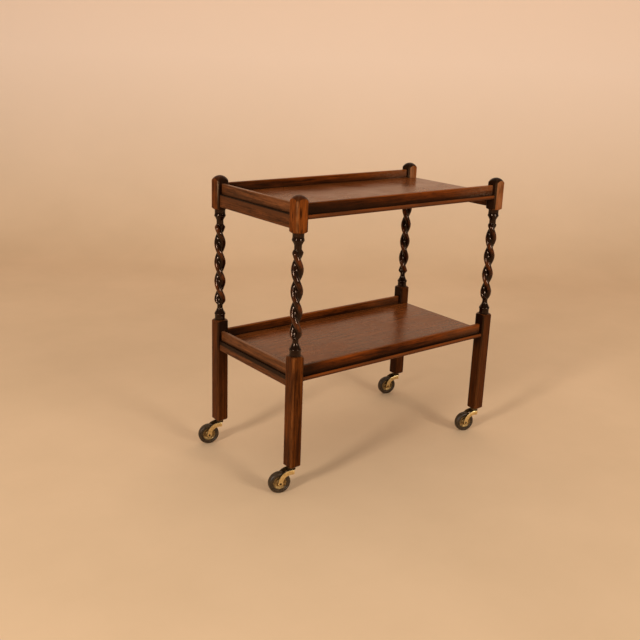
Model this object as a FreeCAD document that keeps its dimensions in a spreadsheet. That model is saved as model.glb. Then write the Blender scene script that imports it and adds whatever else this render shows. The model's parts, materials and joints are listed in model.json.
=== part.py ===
import FreeCAD, Part
import math
import os
import Sketcher

# Two-tier oak trolley: four barley-twist legs on brass casters carry two trays with a low gallery on three
# sides. X runs along the trays, with the open tray ends at +X, the front is -Y and Z points up. The origin
# is on the floor, midway between the four legs. All lengths are in millimetres.

SIZES = {
    # Legs: square stock with its arrises taken off, standing on the corners of this rectangle
    "leg_span_x": 661.2,
    "leg_span_y": 337.0,
    "leg_top_height": 737.5,
    "leg_side": 34.0,
    "leg_chamfer": 4.0,
    "foot_bevel": 3.0,
    "foot_block_length": 287.4,
    "top_block_length": 85.6,
    "dome_radius": 24.0,
    "shoulder_round": 9.0,
    # Turned stretch between the blocks of a leg
    "lower_collar_radius": 14.0,
    "lower_collar_length": 18.5,
    "lower_taper_length": 14.0,
    "lower_neck_radius": 7.2,
    "lower_neck_length": 8.0,
    "upper_collar_radius": 14.4,
    "upper_collar_length": 19.0,
    "upper_taper_length": 10.0,
    "upper_neck_radius": 9.0,
    "upper_neck_length": 10.0,
    "bead_height": 0.8,
    "bead_length": 4.0,
    # Barley twist: two round strands wound about the leg's axis
    "strand_radius": 8.0,
    "strand_offset": 6.85,
    "valley_radius": 2.5,
    "twist_pitch": 102.0,
    "twist_end_length": 13.0,
    # Trays: panel, gallery boards and end aprons. A ledge lies this deep below the top of its block
    "upper_ledge_depth": 45.5,
    "lower_ledge_depth": 55.5,
    "panel_edge_thickness": 10.5,
    "panel_field_rise": 3.0,
    "panel_end_reach": 10.8,
    "panel_edge_round": 4.0,
    "panel_end_round": 2.0,
    "gallery_height": 26.0,
    "gallery_thickness": 10.0,
    "gallery_side_reach": 4.2,
    "gallery_end_reach": 5.2,
    "gallery_round": 2.0,
    "apron_thickness": 20.0,
    "upper_apron_height": 22.5,
    "lower_apron_height": 16.0,
    "apron_round": 2.0,
    "tenon_thickness": 8.0,
    "tenon_shoulder": 3.0,
    "tenon_length": 16.0,
    "joint_clearance": 0.1,
    # Casters: socket in the leg, swivelling fork, axle, hub and tyre
    "caster_trail": 32.0,
    "wheel_radius": 28.0,
    "tyre_width": 17.0,
    "tyre_tread_width": 9.0,
    "tyre_shoulder_depth": 4.0,
    "hub_radius": 17.0,
    "hub_rim_width": 13.0,
    "hub_web_width": 8.0,
    "hub_boss_radius": 6.5,
    "hub_boss_width": 18.6,
    "axle_radius": 3.0,
    "axle_end_length": 1.4,
    "running_clearance": 0.05,
    "fork_side_clearance": 1.3,
    "fork_arm_thickness": 3.6,
    "fork_arm_width": 12.0,
    "fork_bend_radius": 28.0,
    "fork_nose_reach": 3.0,
    "fork_bridge_length": 11.0,
    "fork_boss_radius": 8.5,
    "fork_boss_height": 11.2,
    "stem_radius": 4.5,
    "stem_depth": 32.0,
    "socket_radius": 6.5,
    "socket_depth": 35.0,
    "socket_flange_radius": 12.0,
    "socket_flange_thickness": 1.4,
    "swivel_gap": 0.4,
    # How far cutting sketches run past the solid that they cut
    "overrun": 2.0,
}

# Each leg's place as signs of X and Y
LEG_SIGNS = {"front_left": (-1, -1), "back_left": (-1, 1), "front_right": (1, -1), "back_right": (1, 1)}
# Angles at which the strands of each leg leave the lower neck, in degrees about Z from +X
STRAND_ANGLES = {"front_left": 15.0, "back_left": 13.0, "front_right": 28.0, "back_right": 134.0}
# Direction in which the wheels trail behind their swivels, in degrees about Z from +X
TRAIL_ANGLE = 162.0
# Flats of the carved twist: round its section and along its length
TWIST_SIDES = 20
TWIST_STEPS = 48
# Size of the hidden core and of the twist's end faces, as shares of the radii that they stay inside
CORE_SHARE = 0.75
TWIST_END_SHARE = 0.97
# Reach of the dome's arc from the leg's axis, as a share of its radius
DOME_REACH_SHARE = 0.95
# Points closer than this count as one
TOLERANCE = 1e-6

doc = FreeCAD.newDocument("bar_cart")
sheet = doc.addObject("Spreadsheet::Sheet", "Sizes")
for row, (alias, millimetres) in enumerate(SIZES.items(), start=1):
    sheet.set(f"A{row}", alias)
    sheet.set(f"B{row}", str(millimetres))
    sheet.setAlias(f"B{row}", alias)
doc.recompute()


class Size:
    """A length from the sheet, or one worked out from such lengths: its value and its expression."""

    def __init__(self, value, text):
        self.value = value
        self.text = text

    def __add__(self, other):
        return Size(self.value + other.value, f"({self.text} + {other.text})")

    def __sub__(self, other):
        return Size(self.value - other.value, f"({self.text} - {other.text})")

    def __neg__(self):
        return Size(-self.value, f"(-{self.text})")

    def __mul__(self, factor):
        if isinstance(factor, Size):
            return Size(self.value * factor.value, f"({self.text} * {factor.text})")
        return Size(self.value * factor, f"({self.text} * {factor})")

    def __truediv__(self, factor):
        return Size(self.value / factor, f"({self.text} / {factor})")

    def root(self):
        return Size(math.sqrt(self.value), f"sqrt({self.text})")


ZERO = Size(0.0, "0")


def size(alias):
    return Size(sheet.get(alias), f"Sizes.{alias}")


def origin_feature(body, role):
    return next(item for item in body.Origin.OriginFeatures if item.Role == role)


def new_body(label):
    body = doc.addObject("PartDesign::Body", label)
    body.Label = label
    return body


def place(piece, x, y, angle=0.0):
    """Stand a finished piece at x, y, turned about Z, with its place bound to the sheet."""
    turn = FreeCAD.Rotation(FreeCAD.Vector(0, 0, 1), angle)
    piece.Placement = FreeCAD.Placement(FreeCAD.Vector(x.value, y.value, 0), turn)
    piece.setExpression("Placement.Base.x", x.text)
    piece.setExpression("Placement.Base.y", y.text)


def new_sketch(body, name, plane, offset=ZERO):
    """An empty sketch on one of the body's own planes, moved along that plane's normal."""
    sketch = body.newObject("Sketcher::SketchObject", name)
    sketch.AttachmentSupport = [(origin_feature(body, plane), "")]
    sketch.MapMode = "FlatFace"
    sketch.setExpression("AttachmentOffset.Base.z", offset.text)
    return sketch


def arc_between(start, end, radius, side):
    """The short arc from start to end whose centre lies left (side 1) or right (side -1) of that way."""
    across = end - start
    half = across.Length / 2
    normal = FreeCAD.Vector(-across.y, across.x, 0).normalize()
    depth = math.sqrt(max(radius * radius - half * half, 0.0))
    centre = (start + end) * 0.5 + normal * (side * depth)
    first, last = (start, end) if side > 0 else (end, start)
    angles = [math.atan2(point.y - centre.y, point.x - centre.x) for point in (first, last)]
    circle = Part.Circle(centre, FreeCAD.Vector(0, 0, 1), radius)
    return Part.ArcOfCircle(circle, angles[0], angles[1])


def bind_point(sketch, geometry, end, x, y):
    """Hold one end of a line or arc at x, y from the sketch's origin."""
    for kind, length, axis in (("DistanceX", x, -2), ("DistanceY", y, -1)):
        if length is ZERO:
            sketch.addConstraint(Sketcher.Constraint("PointOnObject", geometry, end, axis))
        else:
            held = Sketcher.Constraint(kind, -1, 1, geometry, end, length.value)
            sketch.setExpression(f"Constraints[{sketch.addConstraint(held)}]", length.text)


def outline(sketch, points, arcs=None):
    """A closed outline through points; arcs maps a side's number to its radius and its centre's side."""
    arcs = arcs or {}
    corners = [FreeCAD.Vector(x.value, y.value, 0) for x, y in points]
    count = len(points)
    ends = []
    for index, start in enumerate(corners):
        end = corners[(index + 1) % count]
        if index in arcs:
            radius, side = arcs[index]
            geometry = sketch.addGeometry(arc_between(start, end, radius.value, side), False)
            ends.append((geometry, 1, 2) if side > 0 else (geometry, 2, 1))
        else:
            geometry = sketch.addGeometry(Part.LineSegment(start, end), False)
            ends.append((geometry, 1, 2))
    for index, (geometry, first, last) in enumerate(ends):
        following = ends[(index + 1) % count]
        sketch.addConstraint(Sketcher.Constraint("Coincident", geometry, last, following[0], following[1]))
        bind_point(sketch, geometry, first, *points[index])
        if index in arcs:
            radius = arcs[index][0]
            held = Sketcher.Constraint("Radius", geometry, radius.value)
            sketch.setExpression(f"Constraints[{sketch.addConstraint(held)}]", radius.text)


def disc(sketch, radius, x=ZERO, y=ZERO):
    """A circle whose centre is held at x, y."""
    centre = FreeCAD.Vector(x.value, y.value, 0)
    circle = Part.Circle(centre, FreeCAD.Vector(0, 0, 1), radius.value)
    geometry = sketch.addGeometry(circle, False)
    bind_point(sketch, geometry, 3, x, y)
    held = Sketcher.Constraint("Radius", geometry, radius.value)
    sketch.setExpression(f"Constraints[{sketch.addConstraint(held)}]", radius.text)


def rectangle(sketch, x_low, x_high, y_low, y_high):
    outline(sketch, [(x_low, y_low), (x_high, y_low), (x_high, y_high), (x_low, y_high)])


def extrude(body, kind, sketch, length, reverse=False, symmetric=False):
    """A Pad or Pocket of the given length."""
    feature = body.newObject(f"PartDesign::{kind}", f"{sketch.Name}_{kind}")
    feature.Profile = sketch
    feature.setExpression("Length", length.text)
    feature.Reversed = reverse
    if symmetric:
        feature.SideType = "Symmetric"
    body.Tip = feature
    return feature


def revolve(body, kind, sketch, axis):
    """A full-turn Revolution or Groove about one of the body's axes."""
    feature = body.newObject(f"PartDesign::{kind}", f"{sketch.Name}_{kind}")
    feature.Profile = sketch
    feature.ReferenceAxis = (origin_feature(body, axis), [""])
    body.Tip = feature
    return feature


def dress(body, kind, amount, places):
    """Fillet or chamfer the straight edges of the body that lie on one of the given places."""
    doc.recompute()
    base = body.Tip
    names = []
    for number, edge in enumerate(base.Shape.Edges, start=1):
        if any(lies_on(edge, place_on) for place_on in places):
            names.append(f"Edge{number}")
    feature = body.newObject(f"PartDesign::{kind}", f"{body.Name}_{kind}_{len(names)}")
    feature.Base = (base, names)
    feature.setExpression("Radius" if kind == "Fillet" else "Size", amount.text)
    body.Tip = feature


def lies_on(edge, planes):
    """True where both ends of an edge have the given coordinates, such as {"z": foot}."""
    ends = [vertex.Point for vertex in edge.Vertexes]
    offsets = [getattr(end, axis) - level.value for end in ends for axis, level in planes.items()]
    return len(ends) > 1 and all(abs(offset) < TOLERANCE for offset in offsets)


# Lengths that several pieces share
half_span_x = size("leg_span_x") / 2
half_span_y = size("leg_span_y") / 2
half_side = size("leg_side") / 2
inner_x = half_span_x - half_side
inner_y = half_span_y - half_side
wheel_radius = size("wheel_radius")
fork_crown = wheel_radius + size("fork_bend_radius")
fork_seat = fork_crown + size("fork_boss_height")
foot = fork_seat + size("swivel_gap") + size("socket_flange_thickness")
lower_shoulder = foot + size("foot_block_length")
upper_shoulder = size("leg_top_height") - size("top_block_length")
panel_end = half_span_x + size("panel_end_reach")
panel_side = half_span_y + half_side - size("leg_chamfer")
gallery_face_y = half_span_y + size("gallery_side_reach")
gallery_face_x = half_span_x + size("gallery_end_reach")
twist_bottom = (lower_shoulder + size("lower_collar_length") + size("lower_taper_length")
                + size("lower_neck_length"))
twist_top = (upper_shoulder - size("upper_collar_length") - size("upper_taper_length")
             - size("upper_neck_length"))
trays = {
    "upper": (size("leg_top_height") - size("upper_ledge_depth"), size("upper_apron_height")),
    "lower": (lower_shoulder - size("lower_ledge_depth"), size("lower_apron_height")),
}
fork_inner = size("tyre_width") / 2 + size("fork_side_clearance")
fork_outer = fork_inner + size("fork_arm_thickness")


def apron_heights(tray):
    """Bottom and top of a tray's aprons, which carry the panel."""
    ledge, height = trays[tray]
    top = ledge - size("panel_edge_thickness")
    return top - height, top


def leg_section(sketch):
    """The leg's square section with its four arrises taken off."""
    side = half_side
    flat = half_side - size("leg_chamfer")
    outline(sketch, [(flat, -side), (side, -flat), (side, flat), (flat, side),
                     (-flat, side), (-side, flat), (-side, -flat), (-flat, -side)])


def turned_profile():
    """Half outline of the turned stretch, with a thin core where the twist goes."""
    reach = size("bead_height")
    bead = size("bead_length")
    low = size("lower_collar_radius")
    high = size("upper_collar_radius")
    low_bead = lower_shoulder + size("lower_collar_length")
    high_bead = upper_shoulder - size("upper_collar_length")
    core = (size("strand_radius") - size("valley_radius")) * CORE_SHARE
    return [
        (ZERO, lower_shoulder),
        (low, lower_shoulder),
        (low, low_bead - bead),
        (low + reach, low_bead - bead / 2),
        (low, low_bead),
        (size("lower_neck_radius"), low_bead + size("lower_taper_length")),
        (size("lower_neck_radius"), twist_bottom),
        (core, twist_bottom),
        (core, twist_top),
        (size("upper_neck_radius"), twist_top),
        (size("upper_neck_radius"), high_bead - size("upper_taper_length")),
        (high, high_bead),
        (high + reach, high_bead + bead / 2),
        (high, high_bead + bead),
        (high, upper_shoulder),
        (ZERO, upper_shoulder),
    ]


def round_over(body, name, collar, height, up):
    """Turn a block's corners over to a quarter round that starts at the collar; up is 1 or -1 along Z."""
    radius = size("shoulder_round")
    reach = collar + radius
    rise = height + radius * up
    far = reach + size("leg_side")
    clear = height - size("overrun") * up
    sketch = new_sketch(body, name, "XZ_Plane")
    points = [(collar, height), (reach, rise), (far, rise), (far, clear), (collar, clear)]
    outline(sketch, points, {0: (radius, up)})
    revolve(body, "Groove", sketch, "Z_Axis")


def round_dome(body):
    """Turn the top of the leg to a dome."""
    top = size("leg_top_height")
    radius = size("dome_radius")
    reach = radius * DOME_REACH_SHARE
    edge = top - radius + (radius * radius - reach * reach).root()
    far = reach + size("leg_side")
    clear = top + size("overrun")
    sketch = new_sketch(body, "dome", "XZ_Plane")
    points = [(ZERO, top), (reach, edge), (far, edge), (far, clear), (ZERO, clear)]
    outline(sketch, points, {0: (radius, -1)})
    revolve(body, "Groove", sketch, "Z_Axis")


def cut_mortises(body, sign_x, sign_y):
    """Mortises for the tenons of the two end aprons, in the face towards the other leg of that end."""
    gap = size("joint_clearance")
    middle = (size("panel_end_reach") - size("apron_thickness") / 2) * sign_x
    half = size("tenon_thickness") / 2 + gap
    for tray in trays:
        bottom, top = apron_heights(tray)
        sketch = new_sketch(body, f"{tray}_mortise", "XZ_Plane", half_side * sign_y)
        shoulder = size("tenon_shoulder") - gap
        rectangle(sketch, middle - half, middle + half, bottom + shoulder, top - shoulder)
        extrude(body, "Pocket", sketch, size("tenon_length") + gap, reverse=sign_y < 0)


def twist_radius(angle, height):
    """Radius of the carved twist at an angle from its strands and a height above its lower end."""
    strand = size("strand_radius").value
    offset = size("strand_offset").value
    valley = size("valley_radius").value
    rounded = size("twist_end_length").value
    length = twist_top.value - twist_bottom.value
    # The section: two round strands with a hollow fillet in the valley between them
    along = abs(math.cos(angle))
    across = abs(math.sin(angle))
    hollow = math.sqrt((strand + valley) ** 2 - offset ** 2)
    tangent = math.atan2(hollow * strand, offset * valley)
    if math.atan2(across, along) < tangent:
        section = offset * along + math.sqrt(strand ** 2 - (offset * across) ** 2)
    else:
        section = hollow * across - math.sqrt(valley ** 2 - (hollow * along) ** 2)
    # The ends: strands round off and the valley fills, both to the neck's radius
    low_neck = size("lower_neck_radius").value * TWIST_END_SHARE
    high_neck = size("upper_neck_radius").value * TWIST_END_SHARE
    neck, distance = min((low_neck, height), (high_neck, length - height), key=lambda pair: pair[1])
    way = min(distance / rounded, 1.0)
    crest = neck + (strand + offset - neck) * math.sin(math.pi / 2 * way)
    fill = neck * (1.0 - way)
    return max(min(section, crest), fill)


def twist_solid():
    """The two strands, wound left-handed about Z: flats between sections that turn as they rise."""
    pitch = size("twist_pitch").value
    length = twist_top.value - twist_bottom.value
    points = []
    for step in range(TWIST_STEPS + 1):
        height = length * step / TWIST_STEPS
        turn = -2 * math.pi * height / pitch
        for side in range(TWIST_SIDES):
            angle = 2 * math.pi * side / TWIST_SIDES
            radius = twist_radius(angle, height)
            points.append((radius * math.cos(angle + turn), radius * math.sin(angle + turn),
                           twist_bottom.value + height))
    facets = []
    for step in range(TWIST_STEPS):
        for side in range(TWIST_SIDES):
            corner = step * TWIST_SIDES + side
            beside = step * TWIST_SIDES + (side + 1) % TWIST_SIDES
            facets.append((corner, beside, beside + TWIST_SIDES))
            facets.append((corner, beside + TWIST_SIDES, corner + TWIST_SIDES))
    last = TWIST_STEPS * TWIST_SIDES
    for side in range(1, TWIST_SIDES - 1):
        facets.append((0, side + 1, side))
        facets.append((last, last + side, last + side + 1))
    shell = Part.Shape()
    shell.makeShapeFromMesh((points, facets), TOLERANCE)
    return Part.makeSolid(shell)


def make_leg(name, sign_x, sign_y, strand_angle, twist_shape):
    """One leg: two square blocks, the turned stretch between them and the twist carved in it."""
    body = new_body(f"{name}_turning")
    sketch = new_sketch(body, "turned", "XZ_Plane")
    outline(sketch, turned_profile())
    revolve(body, "Revolution", sketch, "Z_Axis")
    sketch = new_sketch(body, "foot_block", "XY_Plane", foot)
    leg_section(sketch)
    extrude(body, "Pad", sketch, size("foot_block_length"))
    sketch = new_sketch(body, "top_block", "XY_Plane", upper_shoulder)
    leg_section(sketch)
    extrude(body, "Pad", sketch, size("top_block_length"))
    dress(body, "Chamfer", size("foot_bevel"), [{"z": foot}])
    round_over(body, "lower_shoulder", size("lower_collar_radius"), lower_shoulder, -1)
    round_over(body, "upper_shoulder", size("upper_collar_radius"), upper_shoulder, 1)
    round_dome(body)
    cut_mortises(body, sign_x, sign_y)
    sketch = new_sketch(body, "caster_hole", "XY_Plane", foot)
    disc(sketch, size("socket_radius") + size("joint_clearance"))
    extrude(body, "Pocket", sketch, size("socket_depth") + size("joint_clearance"), reverse=True)
    twist = doc.addObject("Part::Feature", f"{name}_twist")
    twist.Shape = twist_shape
    twist.Placement = FreeCAD.Placement(FreeCAD.Vector(), FreeCAD.Vector(0, 0, 1), strand_angle)
    leg = doc.addObject("Part::Fuse", f"leg_{name}")
    leg.Base = body
    leg.Tool = twist
    leg.Label = f"leg_{name}"
    place(leg, half_span_x * sign_x, half_span_y * sign_y)
    return leg


def make_panel(tray):
    """A tray's panel: notched round the legs, with a raised field and a rounded edge at front and back."""
    ledge = trays[tray][0]
    edge = size("panel_edge_thickness")
    rise = size("panel_field_rise")
    clear = size("overrun")
    cut_x = inner_x + size("leg_chamfer")
    cut_y = inner_y + size("leg_chamfer")
    body = new_body(f"{tray}_panel")
    sketch = new_sketch(body, "board", "XY_Plane", ledge - edge)
    corners = [(inner_x, panel_side), (inner_x, cut_y), (cut_x, inner_y), (panel_end, inner_y)]
    points = [(x, -y) for x, y in corners]
    points += [(x, y) for x, y in reversed(corners)]
    points += [(-x, y) for x, y in corners]
    points += [(-x, -y) for x, y in reversed(corners)]
    outline(sketch, points)
    extrude(body, "Pad", sketch, edge + rise)
    # The ledge outside the field, where the gallery boards stand
    field_y = gallery_face_y - size("gallery_thickness")
    field_x = -(gallery_face_x - size("gallery_thickness"))
    right = panel_end + clear
    out_x = -(panel_end + clear)
    out_y = panel_side + clear
    sketch = new_sketch(body, "ledge", "XY_Plane", ledge + rise)
    outline(sketch, [(right, -field_y), (field_x, -field_y), (field_x, field_y), (right, field_y),
                     (right, out_y), (out_x, out_y), (out_x, -out_y), (right, -out_y)])
    extrude(body, "Pocket", sketch, rise)
    bottom = ledge - edge
    long_edges = [{"y": side, "z": z} for side in (panel_side, -panel_side) for z in (ledge, bottom)]
    open_edges = [{"x": panel_end, "z": z} for z in (ledge + rise, bottom)]
    dress(body, "Fillet", size("panel_edge_round"), long_edges)
    dress(body, "Fillet", size("panel_end_round"), open_edges)
    return body


def make_board(label, plane, low, high, bottom, top, length, rounds):
    """A straight board along X or Y: its section between low and high, with the given corners rounded."""
    body = new_body(label)
    sketch = new_sketch(body, "section", plane)
    corners = [(low, bottom), (high, bottom), (high, top), (low, top)]
    inward = [(1, 1), (-1, 1), (-1, -1), (1, -1)]
    points = []
    arcs = {}
    for index, (x, y) in enumerate(corners):
        if index not in rounds:
            points.append((x, y))
            continue
        radius = rounds[index]
        step_x, step_y = inward[index]
        along_x = (x + radius * step_x, y)
        along_y = (x, y + radius * step_y)
        arcs[len(points)] = (radius, 1)
        points += [along_y, along_x] if index in (0, 2) else [along_x, along_y]
    outline(sketch, points, arcs)
    extrude(body, "Pad", sketch, length, symmetric=True)
    return body


def make_galleries(tray):
    """Front, back and left end gallery boards of a tray, standing on its ledge between the legs."""
    bottom = trays[tray][0]
    top = bottom + size("gallery_height")
    eased = {2: size("gallery_round"), 3: size("gallery_round")}
    thick = size("gallery_thickness")
    front = (-gallery_face_y, thick - gallery_face_y)
    back = (gallery_face_y - thick, gallery_face_y)
    end = (-gallery_face_x, thick - gallery_face_x)
    return [
        make_board(f"{tray}_front_gallery", "YZ_Plane", *front, bottom, top, inner_x * 2, eased),
        make_board(f"{tray}_back_gallery", "YZ_Plane", *back, bottom, top, inner_x * 2, eased),
        make_board(f"{tray}_end_gallery", "XZ_Plane", *end, bottom, top, inner_y * 2, eased),
    ]


def make_apron(tray, name, sign_x):
    """An end apron under the panel, with a tenon at each end."""
    bottom, top = apron_heights(tray)
    outer = panel_end * sign_x
    inner = (panel_end - size("apron_thickness")) * sign_x
    low, high = (inner, outer) if sign_x > 0 else (outer, inner)
    eased = {1 if sign_x > 0 else 0: size("apron_round")}
    body = make_board(f"{tray}_{name}_apron", "XZ_Plane", low, high, bottom, top, inner_y * 2, eased)
    middle = (panel_end - size("apron_thickness") / 2) * sign_x
    half = size("tenon_thickness") / 2
    shoulder = size("tenon_shoulder")
    sketch = new_sketch(body, "tenon", "XZ_Plane")
    rectangle(sketch, middle - half, middle + half, bottom + shoulder, top - shoulder)
    extrude(body, "Pad", sketch, (inner_y + size("tenon_length")) * 2, symmetric=True)
    return body


def make_socket(name, x, y):
    """A caster socket: a tube pressed into the foot, with a flange under it."""
    body = new_body(f"socket_{name}")
    bore = size("stem_radius") + size("running_clearance")
    outer = size("socket_radius")
    flange = size("socket_flange_radius")
    bottom = foot - size("socket_flange_thickness")
    sketch = new_sketch(body, "tube", "XZ_Plane")
    top = foot + size("socket_depth")
    points = [(bore, bottom), (flange, bottom), (flange, foot), (outer, foot), (outer, top), (bore, top)]
    outline(sketch, points)
    revolve(body, "Revolution", sketch, "Z_Axis")
    place(body, x, y)
    return body


def make_fork(name, x, y):
    """A caster fork: two quarter-round arms from a bridge, with the swivel boss and the stem above it."""
    body = new_body(f"fork_{name}")
    half = size("fork_arm_width") / 2
    crown = fork_crown
    bend = size("fork_bend_radius")
    centre = size("caster_trail") - bend
    nose = -size("fork_nose_reach")
    tip = size("caster_trail")
    sketch = new_sketch(body, "arm", "XZ_Plane")
    points = [(nose, crown - half), (centre, crown - half), (tip - half, wheel_radius),
              (tip, wheel_radius - half), (tip + half, wheel_radius), (centre, crown + half),
              (nose, crown + half)]
    outline(sketch, points, {1: (bend - half, -1), 2: (half, 1), 3: (half, 1), 4: (bend + half, 1)})
    extrude(body, "Pad", sketch, fork_outer * 2, symmetric=True)
    sketch = new_sketch(body, "wheel_slot", "XY_Plane", crown + half)
    slot_end = tip + half + size("overrun")
    rectangle(sketch, nose + size("fork_bridge_length"), slot_end, -fork_inner, fork_inner)
    extrude(body, "Pocket", sketch, crown + half)
    sketch = new_sketch(body, "axle_hole", "XZ_Plane")
    disc(sketch, size("axle_radius") + size("running_clearance"), tip, wheel_radius)
    extrude(body, "Pocket", sketch, (fork_outer + size("overrun")) * 2, symmetric=True)
    stem_top = foot + size("stem_depth")
    sketch = new_sketch(body, "boss", "XY_Plane", crown)
    disc(sketch, size("fork_boss_radius"))
    extrude(body, "Pad", sketch, size("fork_boss_height"))
    sketch = new_sketch(body, "stem", "XY_Plane", fork_seat)
    disc(sketch, size("stem_radius"))
    extrude(body, "Pad", sketch, stem_top - fork_seat)
    place(body, x, y, TRAIL_ANGLE)
    return body


def make_axle(name, x, y):
    """The riveted axle through both fork arms."""
    body = new_body(f"axle_{name}")
    sketch = new_sketch(body, "pin", "XZ_Plane")
    disc(sketch, size("axle_radius"), size("caster_trail"), wheel_radius)
    extrude(body, "Pad", sketch, (fork_outer + size("axle_end_length")) * 2, symmetric=True)
    place(body, x, y, TRAIL_ANGLE)
    return body


def make_round(label, points, x, y):
    """A wheel piece: a half section of (radius, width from the middle) mirrored and turned on the axle."""
    body = new_body(label)
    trail = size("caster_trail")
    half = [(trail + radius, width) for radius, width in points]
    mirrored = [(at, -width) for at, width in reversed(half)]
    sketch = new_sketch(body, "section", "XY_Plane", wheel_radius)
    outline(sketch, half + mirrored)
    axis_sketch = new_sketch(body, "axle_line", "XY_Plane", wheel_radius)
    ends = [FreeCAD.Vector(trail.value, y.value, 0) for y in (ZERO, wheel_radius)]
    line = axis_sketch.addGeometry(Part.LineSegment(*ends), False)
    bind_point(axis_sketch, line, 1, trail, ZERO)
    bind_point(axis_sketch, line, 2, trail, wheel_radius)
    feature = body.newObject("PartDesign::Revolution", f"{label}_turned")
    feature.Profile = sketch
    feature.ReferenceAxis = (axis_sketch, ["Edge1"])
    body.Tip = feature
    place(body, x, y, TRAIL_ANGLE)
    return body


def make_hub(name, x, y):
    """A dished hub with a long boss that keeps the wheel between the fork arms."""
    bore = size("axle_radius") + size("running_clearance")
    boss = size("hub_boss_radius")
    points = [(bore, size("hub_boss_width") / 2), (boss, size("hub_boss_width") / 2),
              (boss, size("hub_web_width") / 2), (size("hub_radius"), size("hub_rim_width") / 2)]
    return make_round(f"hub_{name}", points, x, y)


def make_tyre(name, x, y):
    """A rubber tyre on the hub's rim, with sloping shoulders beside its tread."""
    tread = size("tyre_tread_width") / 2
    side = size("tyre_width") / 2
    points = [(size("hub_radius"), side), (wheel_radius - size("tyre_shoulder_depth"), side),
              (wheel_radius, tread)]
    return make_round(f"tyre_{name}", points, x, y)


pieces = []
shared_twist = twist_solid()
sockets = []
for name, (sign_x, sign_y) in LEG_SIGNS.items():
    x = half_span_x * sign_x
    y = half_span_y * sign_y
    pieces.append(make_leg(name, sign_x, sign_y, STRAND_ANGLES[name], shared_twist))
    sockets.append(make_socket(name, x, y))
    pieces.append(make_fork(name, x, y))
    pieces.append(make_axle(name, x, y))
    pieces.append(make_hub(name, x, y))
    pieces.append(make_tyre(name, x, y))
socket_group = doc.addObject("Part::Compound", "caster_sockets")
socket_group.Label = "caster_sockets"
socket_group.Links = sockets
pieces.append(socket_group)
for tray in trays:
    pieces.append(make_panel(tray))
    pieces += make_galleries(tray)
    pieces.append(make_apron(tray, "left", -1))
    pieces.append(make_apron(tray, "right", 1))
doc.recompute()

for item in doc.Objects:
    if "Invalid" in item.State or "Error" in item.State:
        raise RuntimeError(f"{item.Label} failed: {item.State}")
for piece in pieces:
    if piece.Shape.isNull() or not piece.Shape.isValid():
        raise RuntimeError(f"{piece.Label} has no valid shape")
for body in doc.findObjects("PartDesign::Body"):
    for feature in body.Group:
        if feature.isDerivedFrom("PartDesign::Feature") and feature.BaseFeature:
            if abs(feature.Shape.Volume - feature.BaseFeature.Shape.Volume) < TOLERANCE:
                raise RuntimeError(f"{feature.Label} changed nothing")

os.makedirs("parts", exist_ok=True)
for piece in pieces:
    piece.Shape.exportStep(f"parts/{piece.Label}.step")
    print(piece.Label, len(piece.Shape.Solids), round(piece.Shape.Volume / 1000, 2), "cm3")
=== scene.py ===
import json
import math

import bmesh
import bpy
from mathutils import Matrix, Vector


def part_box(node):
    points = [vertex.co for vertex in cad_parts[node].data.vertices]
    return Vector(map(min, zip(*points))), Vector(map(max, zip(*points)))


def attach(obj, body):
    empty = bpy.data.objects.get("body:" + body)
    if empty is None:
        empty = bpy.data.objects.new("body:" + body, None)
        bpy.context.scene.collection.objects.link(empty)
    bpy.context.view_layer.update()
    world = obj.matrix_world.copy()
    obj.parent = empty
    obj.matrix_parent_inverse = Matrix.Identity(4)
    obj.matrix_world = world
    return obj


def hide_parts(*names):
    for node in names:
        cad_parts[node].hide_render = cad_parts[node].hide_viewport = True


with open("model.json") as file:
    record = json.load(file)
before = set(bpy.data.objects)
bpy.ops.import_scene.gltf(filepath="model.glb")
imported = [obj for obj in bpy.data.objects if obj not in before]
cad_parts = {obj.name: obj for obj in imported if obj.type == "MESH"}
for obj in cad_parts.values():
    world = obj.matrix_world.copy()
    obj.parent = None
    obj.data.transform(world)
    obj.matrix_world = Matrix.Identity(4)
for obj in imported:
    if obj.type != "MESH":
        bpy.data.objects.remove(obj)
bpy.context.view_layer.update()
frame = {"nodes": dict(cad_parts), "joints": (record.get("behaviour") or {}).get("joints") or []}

# One millimetre in Blender's metres; the sizes below are in millimetres, as on the cart's drawing
MM = 0.001

# Camera fitted to the legs in the photograph: its place in metres, its angles in degrees, and its
# focal length in the photograph's pixels
CAMERA_PLACE = (-1.471868, -1.691260, 1.043161)
CAMERA_AZIMUTH = -38.537
CAMERA_TILT = 17.412
CAMERA_ROLL = 2.138
FOCAL_PIXELS = 854.444
PHOTO_PIXELS = 640
SENSOR = 36.0

# Legs, in the order of the CAD nodes; the angle is where the strands leave the lower neck
STRAND_ANGLES = {"front_left": 15.0, "back_left": 13.0, "front_right": 28.0, "back_right": 134.0}
LEG_HALF = 17.0
LEG_CHAMFER = 4.0
FOOT_BEVEL = 3.0
LOWER_SHOULDER = 356.4
UPPER_SHOULDER = 651.9
SHOULDER_ROUND = 9.0
DOME_RADIUS = 24.0
# Turned stretches from the block towards the twist: end radius, length and bulge of the middle
LOWER_COLLAR = 14.0
LOWER_TURNING = [(14.0, 14.5, -0.7), (14.0, 4.0, 0.7), (7.2, 14.0, -0.6), (7.2, 8.0, 0.0)]
UPPER_COLLAR = 14.4
UPPER_TURNING = [(14.4, 15.0, -0.8), (14.4, 4.0, 0.6), (9.0, 10.0, -0.4), (9.0, 10.0, 0.0)]
STRAND_RADIUS = 8.0
STRAND_OFFSET = 6.85
VALLEY_RADIUS = 2.5
TWIST_PITCH = 102.0
TWIST_END = 13.0

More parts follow.
